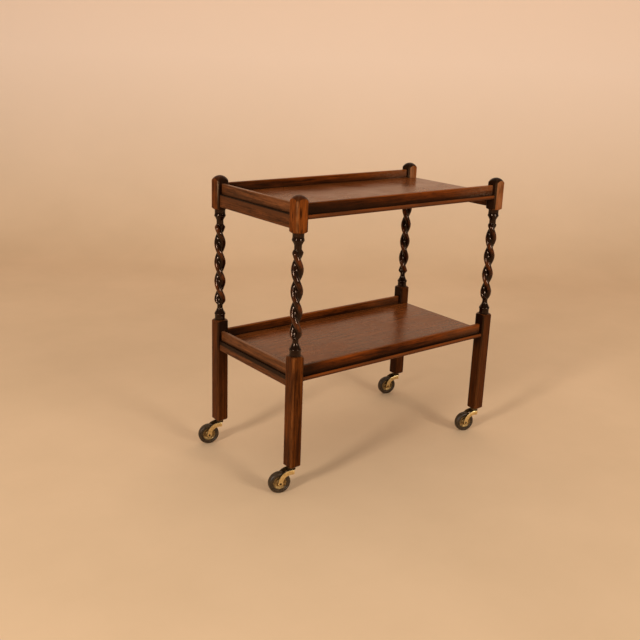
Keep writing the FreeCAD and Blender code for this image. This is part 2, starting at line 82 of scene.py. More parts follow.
# Casters
WHEEL_RADIUS = 28.0
HUB_RADIUS = 17.0
ARM_INNER = 9.8
ARM_OUTER = 13.4
ARM_WIDTH = 12.0
CROWN_HEIGHT = 56.0
NOSE_REACH = 3.0
BRIDGE_END = 8.0
BOSS_RADIUS = 8.5
SEAT_HEIGHT = 67.2
AXLE_RADIUS = 3.0
AXLE_END = 1.4
STEM_RADIUS = 4.5
STEM_TOP = 101.0
# Half sections of the wheel, as radius and distance from its middle; a groove runs round the tyre's side
TYRE_SIDE = [(HUB_RADIUS, 0.0), (HUB_RADIUS, 7.6), (17.6, 8.2), (20.2, 8.4), (20.6, 8.5),
             (21.0, 7.9), (21.8, 7.9), (22.4, 8.5), (23.6, 8.45)]
TREAD_CENTRE = (21.6, 2.6)
TREAD_ROUND = 6.4
TREAD_FLAT = 1.0
HUB_SIDE = [(HUB_RADIUS, 0.0), (HUB_RADIUS, 6.3), (16.6, 6.9), (15.6, 7.0), (15.0, 6.5), (13.0, 5.0),
            (10.0, 4.2), (7.6, 4.4), (6.6, 5.4), (6.4, 8.8), (6.0, 9.3), (3.1, 9.3), (3.1, 0.0)]

# Edges that turn by more than this many degrees stay crisp
SHARP_ANGLE = 38

# The old shellac on all the oak tints its gloss
POLISH_TINT = (1.0, 0.56, 0.28, 1.0)
TURNED_TINT = (1.0, 0.66, 0.46, 1.0)

# Woods and rubber from the dark to the light of their figure, and colours of dirt, wear and end grain.
# Some of these colours also stand for painted light and painted shade.
LEG_TONES = ((0.028, 0.006, 0.0008), (0.15, 0.036, 0.0042))
ARRIS_TONES = ((0.05, 0.012, 0.0024), (0.2, 0.06, 0.0125))
TOP_TONE = (0.20, 0.045, 0.005)
SIDE_TONES = ((0.024, 0.004, 0.0005), (0.22, 0.044, 0.0045))
END_TONES = ((0.06, 0.018, 0.0045), (0.20, 0.064, 0.019))
APRON_TONES = ((0.04, 0.012, 0.003), (0.15, 0.045, 0.0125))
PANEL_TONES = ((0.11, 0.027, 0.0048), (0.25, 0.066, 0.0128))
TURNED_TONES = ((0.004, 0.0012, 0.0005), (0.014, 0.0035, 0.001), (0.085, 0.019, 0.0035))
RUBBER_TONES = ((0.011, 0.006, 0.0022), (0.065, 0.034, 0.011))
GRIME_AND_SHADE = (0.008, 0.0026, 0.001)
RUBBED_AND_HIGHLIGHT = (0.27, 0.062, 0.006)
FADED = (0.30, 0.12, 0.045)
LIT_END = (0.16, 0.048, 0.012)
SCUFFED = (0.36, 0.22, 0.13)
PALE_SHEEN = (0.22, 0.085, 0.035)
END_GRAIN_AND_SHADE = (0.035, 0.008, 0.0016)
PANEL_END = (0.07, 0.021, 0.006)
EDGE_RUB_AND_HIGHLIGHT = (0.17, 0.036, 0.003)
# Heights in metres above which a leg counts as its top block, and at which the lower tray meets it
TOP_BLOCK = 0.66
LOWER_TRAY = 0.30
# Along X or Y in metres: where left turns to right and front to back, where a gallery leaves its left
# leg, and where the painted light and the scuffs of its right end come in
SIDE_BLEND = 0.01
GALLERY_START = -0.29
LIT_END_X = (0.1, 0.3)
SCUFFED_X = (0.16, 0.26)

# Lamps, the room round them, and the floor with its backdrop
LAMP_COLOUR = (1.0, 0.97, 0.93)
AMBIENT_COLOUR = (1.0, 0.95, 0.9)
WALL_COLOUR = (0.33, 0.24, 0.165)
FLOOR_TONES = ((0.66, 0.44, 0.25), (0.73, 0.49, 0.285))
BACKDROP_TONE = (0.88, 0.65, 0.475)


# Material graphs

class Graph:
    """A node material with its Principled shader, and short calls to add to it."""

    def __init__(self, name):
        self.material = bpy.data.materials.new(name)
        self.material.use_nodes = True
        self.tree = self.material.node_tree
        self.shader = self.tree.nodes["Principled BSDF"]
        self.coordinates = self.tree.nodes.new("ShaderNodeTexCoord").outputs["Object"]

    def add(self, kind, inputs=None, **settings):
        node = self.tree.nodes.new(f"ShaderNode{kind}")
        for key, value in settings.items():
            setattr(node, key, value)
        for key, value in (inputs or {}).items():
            self.put(node.inputs[key], value)
        return node

    def put(self, socket, value):
        if isinstance(value, bpy.types.NodeSocket):
            self.tree.links.new(value, socket)
        else:
            socket.default_value = value

    def place(self):
        """The point's three coordinates."""
        return self.add("SeparateXYZ", {"Vector": self.coordinates}).outputs

    def facing(self):
        """The three parts of the surface's direction."""
        normal = self.add("NewGeometry").outputs["Normal"]
        return self.add("SeparateXYZ", {"Vector": normal}).outputs

    def stretched(self, scale):
        return self.add("Mapping", {"Vector": self.coordinates, "Scale": scale}).outputs["Vector"]

    def noise(self, vector, scale, detail=4.0, roughness=0.55, distortion=0.0):
        node = self.add("TexNoise", {"Vector": vector, "Scale": scale, "Detail": detail,
                                     "Roughness": roughness, "Distortion": distortion})
        return node.outputs["Fac"]

    def ramp(self, factor, *stops):
        """A colour ramp; each stop is a place and a colour."""
        node = self.add("ValToRGB", {"Fac": factor})
        elements = node.color_ramp.elements
        while len(elements) < len(stops):
            elements.new(0.5)
        for element, (place, colour) in zip(elements, stops):
            element.position = place
            element.color = (*colour, 1.0)
        return node.outputs["Color"]

    def spread(self, factor, low, high, to_low, to_high):
        node = self.add("MapRange", {"Value": factor, "From Min": low, "From Max": high,
                                     "To Min": to_low, "To Max": to_high})
        return node.outputs["Result"]

    def math(self, operation, first, second):
        return self.add("Math", {0: first, 1: second}, operation=operation).outputs["Value"]

    def times(self, first, second):
        return self.math("MULTIPLY", first, second)

    def plus(self, first, second):
        return self.math("ADD", first, second)

    def mix(self, factor, first, second, blend="MIX"):
        node = self.add("Mix", data_type="RGBA", blend_type=blend)
        self.put(node.inputs["Factor"], factor)
        for index, colour in ((6, first), (7, second)):
            socket = isinstance(colour, bpy.types.NodeSocket)
            self.put(node.inputs[index], colour if socket else (*colour, 1.0))
        return node.outputs[2]

    def bump(self, height, strength, distance):
        node = self.add("Bump", {"Height": height, "Strength": strength, "Distance": distance})
        self.put(self.shader.inputs["Normal"], node.outputs["Normal"])

    def finish(self, **inputs):
        for key, value in inputs.items():
            self.put(self.shader.inputs[key.replace("_", " ")], value)
        return self.material


def along(axis, share):
    """Mapping scales that draw a pattern out along the grain's axis."""
    return tuple(share if letter == axis else 1.0 for letter in "XYZ")


def oak(name, axis, tones, roughness, shine, figure=None, wear=None, relief=0.25):
    """Stained oak: figure, streaks and open pores along the grain, then its wear and painted light,
    under an old polish.
    """
    graph = Graph(name)
    dark, light = tones
    middle = tuple((a + b) / 2 for a, b in zip(dark, light))
    streak_share = 0.4 if figure else 0.75
    fleck_share = 0.2 if figure else 0.6
    figure_share = 0.11
    pore_share = 0.6
    pore_depth = 0.25 * MM
    bands = graph.noise(graph.stretched(along(axis, 0.05)), 170.0, 5.0, 0.6, 0.8)
    streaks = graph.noise(graph.stretched(along(axis, 0.03)), 420.0, 4.0, 0.65)
    pores = graph.noise(graph.stretched(along(axis, 0.05)), 1300.0, 2.0, 0.5)
    patches = graph.noise(graph.coordinates, 9.0, 3.0)
    if figure:
        plain = graph.times(bands, 1.0 - figure_share)
        bands = graph.plus(plain, graph.times(figure(graph), figure_share))
    tone = graph.plus(graph.times(bands, 0.7), graph.times(patches, 0.3))
    base = graph.ramp(tone, (0.38, dark), (0.5, middle), (0.64, light))
    fine = graph.ramp(streaks, (0.32, (0.48, 0.44, 0.42)), (0.62, (1.12, 1.1, 1.08)))
    base = graph.mix(streak_share, base, fine, "MULTIPLY")
    open_pores = graph.spread(pores, 0.34, 0.46, 0.0, 1.0)
    pits = graph.ramp(open_pores, (0.0, (0.25, 0.22, 0.2)), (1.0, (1.0, 1.0, 1.0)))
    base = graph.mix(pore_share, base, pits, "MULTIPLY")
    flecks = graph.noise(graph.stretched(along(axis, 0.12)), 330.0, 2.0, 0.5)
    marks = graph.ramp(flecks, (0.34, (0.3, 0.26, 0.24)), (0.43, (1.0, 1.0, 1.0)))
    base = graph.mix(fleck_share, base, marks, "MULTIPLY")
    rough = graph.spread(patches, 0.35, 0.65, roughness - 0.04, roughness + 0.08)
    # The wear hook also paints light and shade into the base colour
    if wear:
        base, dull = wear(graph, base)
        rough = graph.plus(rough, dull)
    graph.bump(graph.plus(graph.times(streaks, 0.4), open_pores), relief, pore_depth)
    return graph.finish(Base_Color=base, Roughness=rough, Specular_IOR_Level=shine,
                        Specular_Tint=POLISH_TINT)


def cathedral(place, across):
    """Figure of a flat-sawn board: long arches of growth rings about a point of the panel, in metres."""

    def figure(graph):
        mapped = graph.add("Mapping", {"Vector": graph.coordinates, "Location": (place, across, 0.0),
                                       "Scale": (0.1, 1.0, 0.0)}).outputs["Vector"]
        rings = graph.add("TexWave", {"Vector": mapped, "Scale": 22.0, "Distortion": 6.0,
                                      "Detail": 3.0, "Detail Scale": 1.2},
                          wave_type="RINGS", rings_direction="SPHERICAL")
        return rings.outputs["Fac"]

    return figure


def leg_wear_and_painted_light(light):
    """A leg's wear and painted light: a top block lightened by painted light, in a mottle, a dark dome,
    and grime with painted shade on the faces turned inward.

    The legs at the right below their top blocks, and the back left leg, are darker by painted shade. At
    the right the top block is faded and the dome is black.
    """

    def wear(graph, base):
        place = graph.place()
        facing = graph.facing()
        high = graph.spread(place["Z"], TOP_BLOCK - 0.05, TOP_BLOCK, 0.0, 1.0)
        # Painted light: the top block is lightened towards the light tone, in a mottle
        mottle = graph.noise(graph.stretched(along("Z", 0.15)), 230.0)
        mottled = graph.spread(mottle, 0.38, 0.62, 0.0, 0.85)
        base = graph.mix(graph.times(high, mottled), base, light)
        on_right = graph.spread(place["X"], -SIDE_BLEND, SIDE_BLEND, 0.0, 1.0)
        on_left = graph.spread(place["X"], -SIDE_BLEND, SIDE_BLEND, 1.0, 0.0)
        on_back = graph.spread(place["Y"], -SIDE_BLEND, SIDE_BLEND, 0.0, 1.0)
        # Painted shade: the right legs below their top blocks, and the back left leg, are darkened
        # towards the end-grain colour
        low_right = graph.times(on_right, graph.spread(high, 0.0, 1.0, 0.5, 0.0))
        back_left = graph.times(graph.times(on_left, on_back), 0.35)
        base = graph.mix(graph.plus(low_right, back_left), base, END_GRAIN_AND_SHADE)
        faded = graph.spread(graph.noise(graph.stretched(along("Z", 0.2)), 60.0), 0.35, 0.65, 0.0, 0.8)
        base = graph.mix(graph.times(graph.times(high, on_right), faded), base, FADED)
        end_grain = graph.times(high, graph.spread(facing["Z"], 0.25, 0.65, 0.0, 0.9))
        base = graph.mix(end_grain, base, END_GRAIN_AND_SHADE)
        base = graph.mix(graph.times(end_grain, on_right), base, GRIME_AND_SHADE)
        # Painted shade with grime: faces turned towards the middle of the cart are darkened, less so
        # below the lower tray
        way_x = graph.spread(place["X"], -SIDE_BLEND, SIDE_BLEND, 1.0, -1.0)
        way_y = graph.spread(place["Y"], -SIDE_BLEND, SIDE_BLEND, 1.0, -1.0)
        inward_x = graph.times(way_x, facing["X"])
        inward_y = graph.times(way_y, facing["Y"])
        inward = graph.math("MAXIMUM", inward_x, graph.times(inward_y, on_left))
        by_tray = graph.spread(place["Z"], LOWER_TRAY - 0.05, LOWER_TRAY - 0.01, 0.35, 1.0)
        shaded = graph.times(by_tray, graph.spread(inward, 0.3, 0.7, 0.0, 0.97))
        return graph.mix(shaded, base, GRIME_AND_SHADE), 0.0

    return wear


def side_wear_and_painted_light(foot, top, dark_reach, scuffed):
    """A front or back gallery's wear and painted light: grime and painted shade low down, painted shade
    by the left leg, a rubbed top with a painted highlight, and painted light and scuffs at the right end.
    """

    def wear(graph, base):
        place = graph.place()
        rub_and_gleam = graph.spread(graph.noise(graph.stretched(along("X", 0.1)), 60.0), 0.35, 0.6, 0.15, 1.0)
        # Painted light: the right end of the board is lightened, in patches
        lit_end = graph.times(graph.spread(place["X"], *LIT_END_X, 0.0, 0.6), rub_and_gleam)
        base = graph.mix(lit_end, base, LIT_END)
        # Grime and painted shade towards the foot; painted shade towards the left leg
        low_down = graph.spread(place["Z"], foot + 4.0 * MM, foot + 0.75 * (top - foot), 0.85, 0.0)
        base = graph.mix(low_down, base, GRIME_AND_SHADE)
        by_leg = graph.spread(place["X"], GALLERY_START, GALLERY_START + dark_reach, 0.85, 0.0)
        base = graph.mix(by_leg, base, GRIME_AND_SHADE)
        # A rubbed top edge, lightened further by a painted highlight
        near_top = graph.spread(place["Z"], top - 2.5 * MM, top - 0.5 * MM, 0.0, 0.7)
        base = graph.mix(graph.times(near_top, rub_and_gleam), base, RUBBED_AND_HIGHLIGHT)
        specks = graph.noise(graph.stretched(along("X", 0.4)), 420.0, 4.0, 0.65)
        scuffs = graph.times(graph.spread(specks, 0.42, 0.66, 0.0, scuffed),
                             graph.spread(place["X"], *SCUFFED_X, 0.0, 1.0))
        return graph.mix(scuffs, base, SCUFFED), 0.0

    return wear


def end_wear_and_painted_light(foot, top):
    """The end gallery's wear and painted light: grime and painted shade low on it, and a painted pale
    sheen along the top.
    """

    def wear(graph, base):
        height = graph.place()["Z"]
        rub_and_gleam = graph.spread(graph.noise(graph.stretched(along("Y", 0.1)), 60.0), 0.35, 0.6, 0.4, 1.0)
        # Grime and painted shade: darker towards the foot
        low_down = graph.spread(height, foot, foot + 0.35 * (top - foot), 0.8, 0.0)
        base = graph.mix(low_down, base, GRIME_AND_SHADE)
        # Painted sheen: a pale line along the top
        near_top = graph.spread(height, top - 1.6 * MM, top - 0.4 * MM, 0.0, 0.8)
        return graph.mix(graph.times(near_top, rub_and_gleam), base, PALE_SHEEN), 0.0

    return wear


def panel_wear_and_painted_light(ledge, dark_end_depth):
    """A panel's wear and painted light: grime and painted shade on its ledge and down its left end, and a
    rubbed edge along its sides, lightened by a painted highlight.
    """

    def wear(graph, base):
        height = graph.place()["Z"]
        facing = graph.facing()
        below_field = graph.spread(height, ledge + 1.0 * MM, ledge + 2.0 * MM, 1.0, 0.0)
        level = graph.spread(facing["Z"], 0.9, 0.98, 0.0, 1.0)
        edge = graph.spread(height, ledge - 7.0 * MM, ledge - 2.0 * MM, 0.0, 0.9)
        # Grime and painted shade: everything below the panel's field is darkened
        base = graph.mix(graph.times(below_field, 0.8), base, END_GRAIN_AND_SHADE)
        # A rubbed edge along the sides, lightened by a painted highlight
        rub_and_gleam = graph.spread(graph.noise(graph.stretched(along("X", 0.12)), 70.0), 0.36, 0.62, 0.2, 1.0)
        base = graph.mix(graph.times(graph.times(edge, below_field), rub_and_gleam), base, EDGE_RUB_AND_HIGHLIGHT)
        # Grime and painted shade: the left end darkens towards the ledge, over a depth set per tray
        down_end = graph.spread(height, ledge - dark_end_depth, ledge - 0.5 * dark_end_depth, 0.0, 1.0)
        left_end = graph.spread(facing["X"], -0.8, -0.6, 1.0, 0.0)
        base = graph.mix(left_end, base, graph.mix(down_end, PANEL_END, GRIME_AND_SHADE))
        # Grime and painted shade: the level top of the ledge is darkened most
        base = graph.mix(graph.times(below_field, level), base, GRIME_AND_SHADE)
        return base, graph.spread(below_field, 0.0, 1.0, 0.0, 0.3)

    return wear


def turned_oak(name):
    """Nearly black polished oak of the turned stretches, rubbed to red-brown on streaks and crests."""
    graph = Graph(name)
    streaks = graph.noise(graph.stretched(along("Z", 0.08)), 260.0, 4.0, 0.6)
    patches = graph.noise(graph.coordinates, 38.0, 4.0, 0.6)
    crest = graph.add("Attribute", attribute_name="crest").outputs["Fac"]
    tone = graph.plus(graph.times(streaks, 0.35), graph.times(patches, 0.45))
    tone = graph.plus(tone, graph.times(crest, 0.2))
    base = graph.ramp(tone, *zip((0.44, 0.56, 0.68), TURNED_TONES))
    tool_marks = graph.noise(graph.coordinates, 130.0, 2.0)
    graph.bump(graph.plus(graph.times(tool_marks, 2.0), streaks), 0.1, 0.7 * MM)
    gloss = graph.spread(patches, 0.35, 0.65, 0.08, 0.17)
    return graph.finish(Base_Color=base, Roughness=gloss, Specular_IOR_Level=0.3,
                        Specular_Tint=TURNED_TINT)


def brass(name, pale, deep, rough):
    """Aged brass: mottled tone, darker in blotches, with fine handling marks."""
    graph = Graph(name)
    blotches = graph.noise(graph.coordinates, 240.0, 5.0, 0.6)
    marks = graph.noise(graph.coordinates, 1800.0, 2.0)
    base = graph.ramp(blotches, (0.36, deep), (0.62, pale))
    gloss = graph.spread(blotches, 0.35, 0.65, rough + 0.14, rough)
    graph.bump(marks, 0.12, 0.1 * MM)
    return graph.finish(Base_Color=base, Roughness=gloss, Metallic=1.0)


def rubber(name):
    """Old moulded rubber: nearly black, with brown scuffs."""
    graph = Graph(name)
    scuffs = graph.noise(graph.coordinates, 320.0, 5.0, 0.65)
    base = graph.ramp(scuffs, *zip((0.38, 0.66), RUBBER_TONES))
    gloss = graph.spread(scuffs, 0.35, 0.65, 0.3, 0.52)
    graph.bump(scuffs, 0.2, 0.15 * MM)
    return graph.finish(Base_Color=base, Roughness=gloss, Specular_IOR_Level=0.3)


# Mesh pieces

def new_piece(name, body, materials, replaced, mesh_builder):
    """Make a mesh piece with mesh_builder(bm), ride it on a body, and hide what it replaces."""
    bm = bmesh.new()
    mesh_builder(bm)
    bmesh.ops.recalc_face_normals(bm, faces=bm.faces)
    mesh = bpy.data.meshes.new(name)
    bm.to_mesh(mesh)
    bm.free()
    for material in materials:
        mesh.materials.append(material)
    mesh.polygons.foreach_set("use_smooth", [True] * len(mesh.polygons))
    mesh.set_sharp_from_angle(angle=math.radians(SHARP_ANGLE))
    piece = bpy.data.objects.new(name, mesh)
    bpy.context.scene.collection.objects.link(piece)
    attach(piece, body)
    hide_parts(*replaced)
    return piece


def skin(bm, rings, closed_ring=True, closed_path=False, paint=None):
    """Quads between rings of points, with material paint(level, side); returns the vertex rings."""
    made = [[bm.verts.new(point) for point in ring] for ring in rings]
    sides = len(made[0]) if closed_ring else len(made[0]) - 1
    following = made[1:] + made[:1] if closed_path else made[1:]
    for level, (lower, upper) in enumerate(zip(made, following)):
        for side in range(sides):
            beside = (side + 1) % len(lower)
            face = bm.faces.new((lower[side], lower[beside], upper[beside], upper[side]))
            if paint:
                face.material_index = paint(level, side)
    return made


# Legs

def leg_angles():
    """Angles round a leg, close together where the arrises turn."""
    corner = math.degrees(math.atan2(LEG_HALF - LEG_CHAMFER, LEG_HALF))
    quadrant = [-corner + 2.0, -corner + 8.0, -18.0, -9.0, 0.0, 9.0, 18.0, corner - 8.0, corner - 2.0]
    quadrant += [corner - 0.7, corner + 0.7, corner + 2.5, 45.0]
    quadrant += [87.5 - corner, 89.3 - corner, 90.7 - corner]
    return [math.radians(turn * 90.0 + angle) for turn in range(4) for angle in sorted(quadrant)]


def block_radius(angle):
    """Distance from the leg's axis to its square section with softened, taken-off arrises."""
    arris = (2 * LEG_HALF - LEG_CHAMFER) / math.sqrt(2)
    softness = 70.0
    grazing = 0.05
    total = 0.0
    for face in range(8):
        reach = math.cos(angle - face * math.pi / 4)
        if reach > grazing:
            distance = (LEG_HALF if face % 2 == 0 else arris) / reach
            total += distance ** -softness
    return total ** (-1 / softness)


def twist_radius(angle, height, length):
    """Radius of the two-strand twist at an angle from its strands, rounded off at both ends."""
    cosine = abs(math.cos(angle))
    sine = abs(math.sin(angle))
    hollow = math.sqrt((STRAND_RADIUS + VALLEY_RADIUS) ** 2 - STRAND_OFFSET ** 2)
    tangent = math.atan2(hollow * STRAND_RADIUS, STRAND_OFFSET * VALLEY_RADIUS)
    if math.atan2(sine, cosine) < tangent:
        section = STRAND_OFFSET * cosine + math.sqrt(STRAND_RADIUS ** 2 - (STRAND_OFFSET * sine) ** 2)
    else:
        section = hollow * sine - math.sqrt(VALLEY_RADIUS ** 2 - (hollow * cosine) ** 2)
    lower = (height, LOWER_TURNING[-1][0])
    upper = (length - height, UPPER_TURNING[-1][0])
    distance, neck = min(lower, upper)
    way = min(distance / TWIST_END, 1.0)
    crest = neck + (STRAND_RADIUS + STRAND_OFFSET - neck) * math.sin(math.pi / 2 * way)
    return max(min(section, crest), neck * (1.0 - way))


def turning(start_radius, start, segments, direction):
    """Radius and height along a turned stretch, a few steps to each bulging segment."""
    radius = start_radius
    height = start
    steps = 7
    points = [(radius, height)]
    for end_radius, length, bulge in segments:
        for step in range(1, steps + 1):
            way = step / steps
            swell = bulge * 4 * way * (1 - way)
            reach = radius + (end_radius - radius) * way + swell
            points.append((reach, height + direction * length * way))
        radius = end_radius
        height += direction * length
    return points


def leg_rings(strand_angle, foot, top):
    """All rings of a leg from foot to top, each with its zone: block or turned."""
    angles = leg_angles()
    block = [block_radius(angle) for angle in angles]
    rings = []

    def level(zone, radii, heights):
        ring = [(r * math.cos(a), r * math.sin(a), z) for r, a, z in zip(radii, angles, heights)]
        rings.append((zone, ring))

    def flat(zone, radii, height):
        level(zone, radii, [height] * len(angles))

    def shoulder(radius, collar):
        reach = min(max(radius - collar, 0.0), SHOULDER_ROUND)
        return SHOULDER_ROUND - math.sqrt(SHOULDER_ROUND ** 2 - reach ** 2)

    def dome(radius):
        return top - DOME_RADIUS + math.sqrt(DOME_RADIUS ** 2 - radius ** 2)

    spread = [0.0, 0.25, 0.5, 0.75, 0.92, 1.0]
    dome_spread = [1.0, 0.93, 0.8, 0.6, 0.4, 0.2, 0.05]
    cap_share = 0.35
    flat("block", [cap_share * r for r in block], foot)
    flat("block", [r * (1 - FOOT_BEVEL / LEG_HALF) for r in block], foot)
    flat("block", block, foot + FOOT_BEVEL)
    for share in reversed(spread):
        radii = [LOWER_COLLAR + share * (r - LOWER_COLLAR) for r in block]
        level("block", radii, [LOWER_SHOULDER - shoulder(r, LOWER_COLLAR) for r in radii])
    lower = turning(LOWER_COLLAR, LOWER_SHOULDER, LOWER_TURNING, 1)
    upper = turning(UPPER_COLLAR, UPPER_SHOULDER, UPPER_TURNING, -1)
    for radius, height in lower[1:]:
        flat("turned", [radius] * len(angles), height)
    bottom = lower[-1][1]
    length = upper[-1][1] - bottom
    steps = 120
    for step in range(1, steps):
        height = length * step / steps
        turn = math.radians(strand_angle) - 2 * math.pi * height / TWIST_PITCH
        flat("turned", [twist_radius(angle - turn, height, length) for angle in angles], bottom + height)
    for radius, height in reversed(upper):
        flat("turned", [radius] * len(angles), height)
    for share in spread[1:]:
        radii = [UPPER_COLLAR + share * (r - UPPER_COLLAR) for r in block]
        level("block", radii, [UPPER_SHOULDER + shoulder(r, UPPER_COLLAR) for r in radii])
    for share in dome_spread:
        radii = [share * r for r in block]
        level("block", radii, [dome(r) for r in radii])
    return angles, rings


def build_leg(name):
    """A leg as one skin: its faces, its arrises and its turned stretch each have their own wood."""
    low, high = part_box(f"leg_{name}")
    axis_x = (low.x + high.x) / 2
    axis_y = (low.y + high.y) / 2
    angles, rings = leg_rings(STRAND_ANGLES[name], low.z / MM, high.z / MM)
    corner = math.atan2(LEG_HALF - LEG_CHAMFER, LEG_HALF)
    quarter = math.pi / 2
    face, arris, turned = range(3)
    # A side is told by an angle just past its start, in radians, with some slack at the arris
    past = 0.004
    slack = 0.005

    def paint(level, side):
        if "turned" in (rings[level][0], rings[level + 1][0]):
            return turned
        angle = (angles[side] + past) % quarter
        return arris if corner - slack < angle < quarter - corner - slack else face

    def fill(bm):
        points = []
        for zone, ring in rings:
            points.append([(axis_x + x * MM, axis_y + y * MM, z * MM) for x, y, z in ring])
        made = skin(bm, points, paint=paint)
        bm.faces.new(list(reversed(made[0])))
        bm.faces.new(made[-1])

    woods = [leg_wood, arris_wood, turned_wood]
    piece = new_piece(f"{name}_leg", "frame", woods, [f"leg_{name}"], fill)
    mark_crests(piece.data, axis_x, axis_y)


def mark_crests(mesh, axis_x, axis_y):
    """Keep on each vertex how near it is to the crest of a strand, for the wear of its polish."""
    lowest = LOWER_SHOULDER + 40.0
    highest = UPPER_SHOULDER - 38.0
    elsewhere = 0.2
    crest = mesh.attributes.new("crest", "FLOAT", "POINT")
    for vertex, mark in zip(mesh.vertices, crest.data):
        reach = math.hypot(vertex.co.x - axis_x, vertex.co.y - axis_y) / MM
        carved = lowest < vertex.co.z / MM < highest
        nearness = min(max((reach - STRAND_RADIUS) / STRAND_OFFSET, 0.0), 1.0)
        mark.value = nearness if carved else elsewhere


# Casters

def caster_place(name):
    """A caster's own axes, with X along its trail and Y along its axle, and the length of the trail."""
    joints = {joint["name"]: joint for joint in frame["joints"]}
    swivel = Vector(joints[f"swivel_{name}"]["pos_m"])
    wheel = Vector(joints[f"spin_{name}"]["pos_m"])
    trail = Vector((wheel.x - swivel.x, wheel.y - swivel.y, 0))
    ahead = trail.normalized()
    beside = Vector((0, 0, 1)).cross(ahead)
    turn = Matrix((ahead, beside, Vector((0, 0, 1)))).transposed().to_4x4()
    return Matrix.Translation((swivel.x, swivel.y, 0)) @ turn, trail.length / MM


def lathe(bm, place, centre, axis, profile, sides, colour=0, closed=False):
    """Turn (radius, distance) points about Y or Z through centre, in the caster's own millimetres."""
    rings = []
    for radius, distance in profile:
        ring = []
        for side in range(sides):
            angle = 2 * math.pi * side / sides
            cosine = radius * math.cos(angle)
            sine = radius * math.sin(angle)
            local = Vector((cosine, distance, sine)) if axis == "Y" else Vector((cosine, sine, distance))
            ring.append(place @ ((centre + local) * MM))
        rings.append(ring)
    return skin(bm, rings, closed_path=closed, paint=lambda level, side: colour)


def arc(centre, radius, start, end, steps):
    """Points (radius, distance) on an arc of a lathe profile, angles in degrees from outward."""
    points = []
    for step in range(steps + 1):
        angle = math.radians(start + (end - start) * step / steps)
        points.append((centre[0] + radius * math.cos(angle), centre[1] + radius * math.sin(angle)))
    return points


def mirrored(points):
    """The other half of a lathe profile, in the order in which it goes on."""
    return [(radius, -distance) for radius, distance in reversed(points)]


def build_tyre(name):
    place, trail = caster_place(name)
    centre = Vector((trail, 0, WHEEL_RADIUS))

    def fill(bm):
        half = TYRE_SIDE + arc(TREAD_CENTRE, TREAD_ROUND, start=64, end=0, steps=9)
        half += [(WHEEL_RADIUS, TREAD_FLAT), (WHEEL_RADIUS, 0.0)]
        lathe(bm, place, centre, "Y", half + mirrored(half[1:-1]), sides=72, closed=True)

    new_piece(f"{name}_tyre", f"wheel_{name}", [tyre_rubber], [f"tyre_{name}"], fill)


def build_hub(name):
    place, trail = caster_place(name)
    centre = Vector((trail, 0, WHEEL_RADIUS))

    def fill(bm):
        lathe(bm, place, centre, "Y", HUB_SIDE + mirrored(HUB_SIDE[1:-1]), sides=64, closed=True)

    new_piece(f"{name}_hub", f"wheel_{name}", [hub_brass], [f"hub_{name}"], fill)


def build_axle(name):
    place, trail = caster_place(name)
    centre = Vector((trail, 0, WHEEL_RADIUS))
    end = ARM_OUTER + AXLE_END

    def fill(bm):
        half = [(0.4, end), (1.2, end - 0.1), (2.2, end - 0.4), (AXLE_RADIUS, end - 0.9),
                (AXLE_RADIUS, 0.0)]
        made = lathe(bm, place, centre, "Y", half + mirrored(half[:-1]), sides=32)
        bm.faces.new(made[0])
        bm.faces.new(made[-1])

    new_piece(f"{name}_axle", f"caster_{name}", [dark_brass], [f"axle_{name}"], fill)


def arm_path(trail):
    """Middle line of a fork arm from nose to axle: points, sideways directions and half widths."""
    bend = CROWN_HEIGHT - WHEEL_RADIUS
    centre = trail - bend
    half = ARM_WIDTH / 2
    nose_ease = 0.6
    end_half = 0.3
    bend_steps = 14
    end_steps = 8
    up = Vector((0, 0, 1))
    ahead = Vector((1, 0, 0))
    stations = [(Vector((-NOSE_REACH, 0, CROWN_HEIGHT)), up, half - nose_ease)]
    for x in (-NOSE_REACH + nose_ease, 0.0, centre):
        stations.append((Vector((x, 0, CROWN_HEIGHT)), up, half))
    for step in range(1, bend_steps + 1):
        angle = math.pi / 2 * (1 - step / bend_steps)
        outward = Vector((math.cos(angle), 0, math.sin(angle)))
        stations.append((Vector((centre, 0, WHEEL_RADIUS)) + outward * bend, outward, half))
    for step in range(1, end_steps + 1):
        angle = math.pi / 2 * step / end_steps
        middle = Vector((trail, 0, WHEEL_RADIUS - half * math.sin(angle)))
        stations.append((middle, ahead, max(half * math.cos(angle), end_half)))
    return stations


